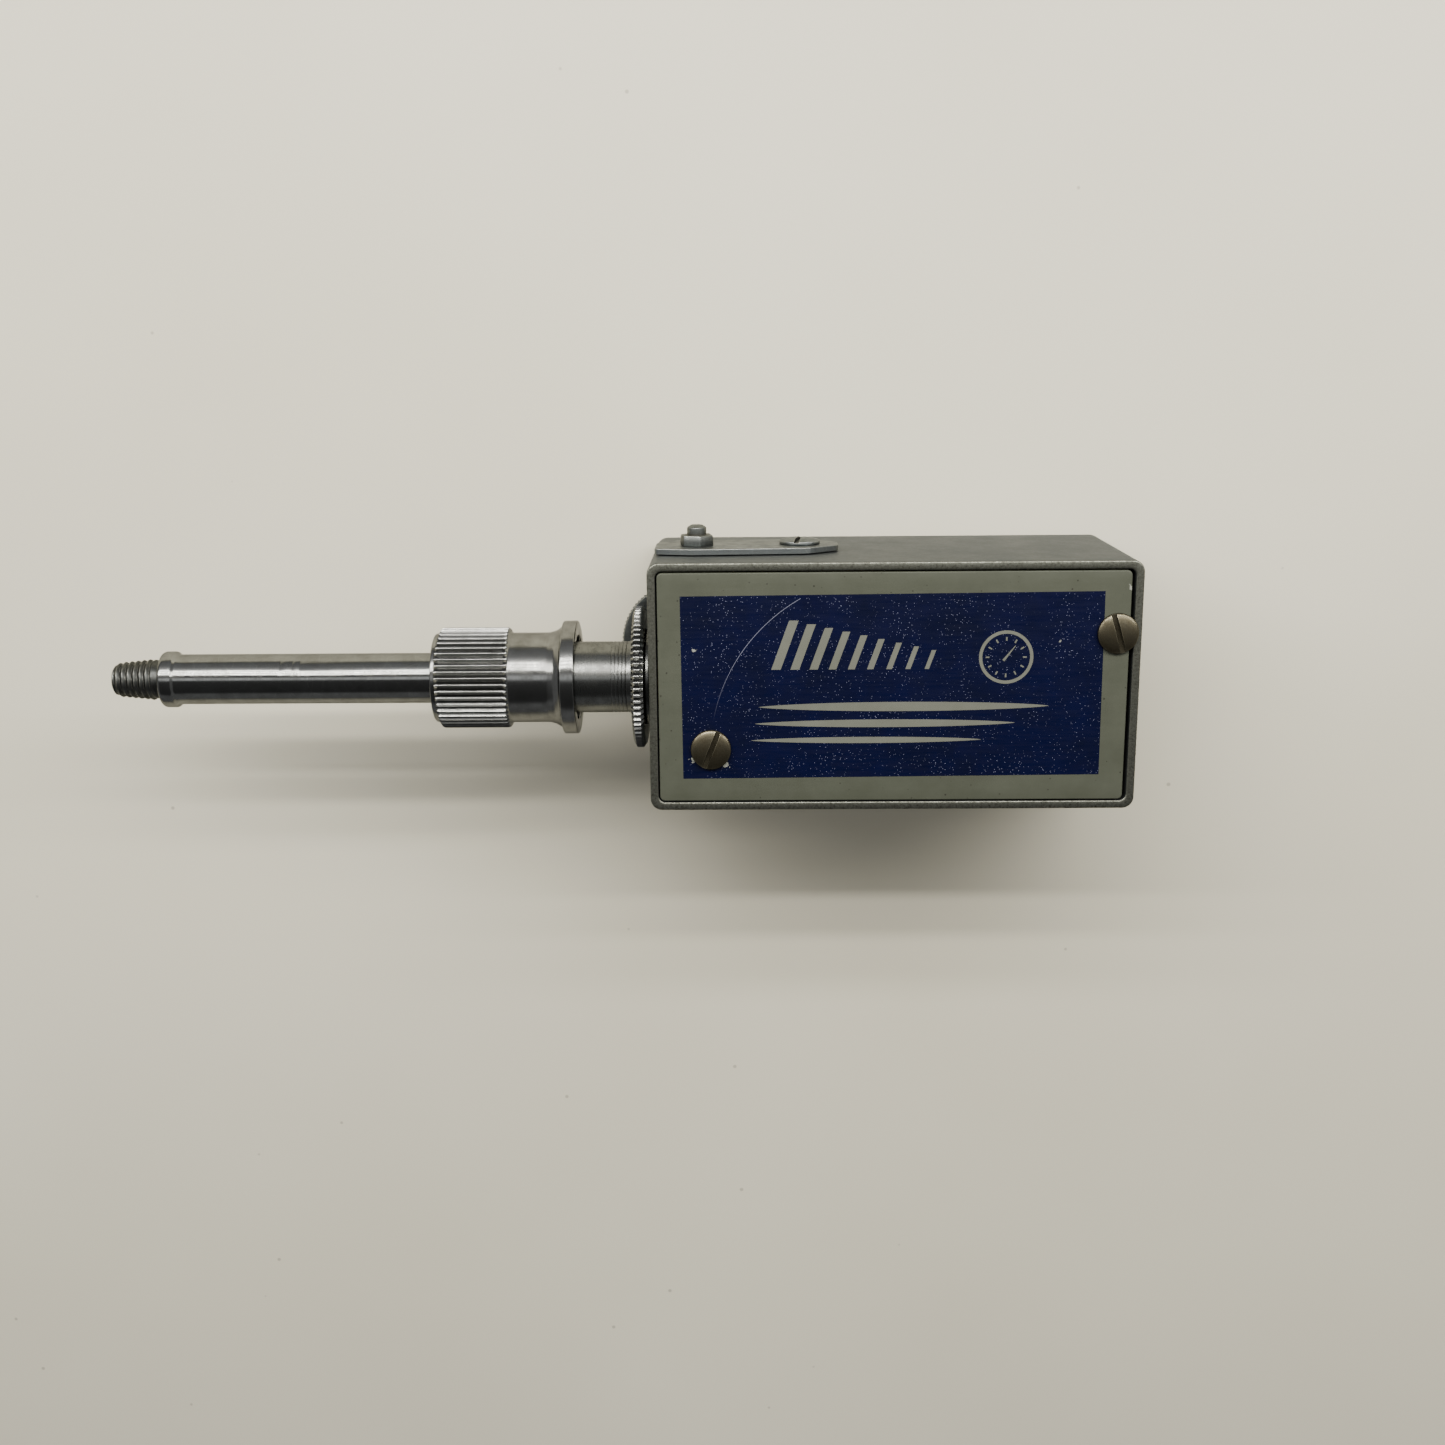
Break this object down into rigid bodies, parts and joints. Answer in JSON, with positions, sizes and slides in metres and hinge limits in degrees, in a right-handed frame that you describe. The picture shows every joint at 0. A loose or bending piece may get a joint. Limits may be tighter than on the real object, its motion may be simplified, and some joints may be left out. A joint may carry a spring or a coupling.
{
  "type": "clockwork camera self-timer",
  "caption": "Clockwork self-timer for a camera: a slim metal can with a start lever, winding thumbwheel, knurled swivel sleeve and a plunger tube with a tapered release thread.",
  "frame": {"origin": "centre of the can's flat back face", "axes": "+Z from the back face towards the cover plate, +Y towards the side with the start lever, the release tube points along -X"},
  "size_m": [0.0824, 0.0221, 0.0195],
  "materials": {
    "case_metal": "satin drawn sheet",
    "cover_paint": "grey-green enamel with a deep blue field",
    "aged_brass": "aged, slightly dull",
    "brass": "machined",
    "steel": "turned and polished",
    "spring_steel": "tempered",
    "chrome": "bright plated, lightly worn",
    "turned_nickel": "turned, satin plated",
    "worn_steel": "bare, oxidised",
    "lever_nickel": "plated sheet, worn",
    "lever_stud": "dull plated"
  },
  "bodies": {
    "case": {"case_shell": "case_metal", "cover_plate": "cover_paint", "cover_screws": "aged_brass", "cover_posts": "brass", "back_plate": "brass", "front_plate": "brass", "pillars": "brass", "pillar_screws": "steel", "plate_feet": "brass", "case_screws": "steel", "outlet_boss": "turned_nickel", "boss_nut": "brass", "sleeve_circlip": "spring_steel", "spring_bracket": "brass", "bracket_screws": "steel", "guide_rod": "steel", "lever_bush": "brass", "winding_bush": "brass", "idler_stud": "steel", "drive_spring": "spring_steel"},
    "release_tip": {"release_thread": "worn_steel", "release_tube": "chrome", "sleeve_cap": "chrome", "knurled_sleeve": "chrome"},
    "lock_ring": {"lock_ring": "chrome"},
    "lever": {"start_lever": "lever_nickel", "lever_stud": "lever_stud", "lever_screw": "lever_nickel", "lever_shaft": "steel", "lever_washer": "spring_steel", "stop_finger": "steel"},
    "plunger": {"plunger_rod": "steel", "carriage": "brass", "rack": "steel"},
    "winder": {"thumbwheel": "lever_nickel", "winding_arbor": "steel"},
    "idler": {"winding_idler": "brass"},
    "drive": {"drive_arbor": "steel", "winding_gear": "brass", "great_wheel": "brass", "ratchet_wheel": "steel", "click": "steel", "click_spring": "spring_steel"},
    "second": {"second_arbor": "steel", "second_wheel": "brass"},
    "escape": {"escape_arbor": "steel", "escape_wheel": "brass"},
    "anchor": {"anchor": "steel", "anchor_arbor": "steel", "anchor_weight": "brass"}
  },
  "joints": [
    {"name": "thumbwheel_turn", "type": "hinge", "parent": "case", "child": "winder", "pos_m": [-0.01735, 0.0009, 0.0025], "axis": [0, 0, 1], "range_deg": [0, 982]},
    {"name": "plunger_slide", "type": "slide", "parent": "case", "child": "plunger", "axis": [-1, 0, 0], "range_m": [0, 0.0075], "deforming": ["drive_spring"]},
    {"name": "idler_turn", "type": "hinge", "parent": "case", "child": "idler", "pos_m": [-0.01282, -0.00001, 0.0035], "axis": [0, 0, 1], "range_deg": [-231.5, 0]},
    {"name": "drive_turn", "type": "hinge", "parent": "case", "child": "drive", "pos_m": [-0.007, -0.00435, 0.007], "axis": [0, 0, 1], "range_deg": [0, 245.6]},
    {"name": "second_turn", "type": "hinge", "parent": "case", "child": "second", "pos_m": [-0.00183, -0.00194, 0.007], "axis": [0, 0, 1], "range_deg": [-921, 0]},
    {"name": "escape_turn", "type": "hinge", "parent": "case", "child": "escape", "pos_m": [0.00333, -0.00006, 0.007], "axis": [0, 0, 1], "range_deg": [0, 4143]},
    {"name": "anchor_rock", "type": "hinge", "parent": "case", "child": "anchor", "pos_m": [0.00333, 0.00384, 0.007], "axis": [0, 0, 1], "range_deg": [-4, 4]},
    {"name": "start_lever_swing", "type": "hinge", "parent": "case", "child": "lever", "pos_m": [-0.00715, 0.01, 0.0114], "axis": [0, -1, 0], "range_deg": [0, 28]},
    {"name": "sleeve_turn", "type": "hinge", "parent": "case", "child": "release_tip", "pos_m": [-0.04, 0, 0.0138], "axis": [1, 0, 0], "continuous": true},
    {"name": "lock_ring_turn", "type": "hinge", "parent": "case", "child": "lock_ring", "pos_m": [-0.02, 0, 0.0138], "axis": [1, 0, 0], "range_deg": [-180, 180]}
  ],
  "couplings": [
    {"joint": "plunger_slide", "follows": "thumbwheel_turn", "m_per_rad": 0.0004375},
    {"joint": "idler_turn", "follows": "thumbwheel_turn", "ratio": -0.23529},
    {"joint": "drive_turn", "follows": "thumbwheel_turn", "ratio": 0.25},
    {"joint": "second_turn", "follows": "thumbwheel_turn", "ratio": -0.9375},
    {"joint": "escape_turn", "follows": "thumbwheel_turn", "ratio": 4.2188}
  ]
}
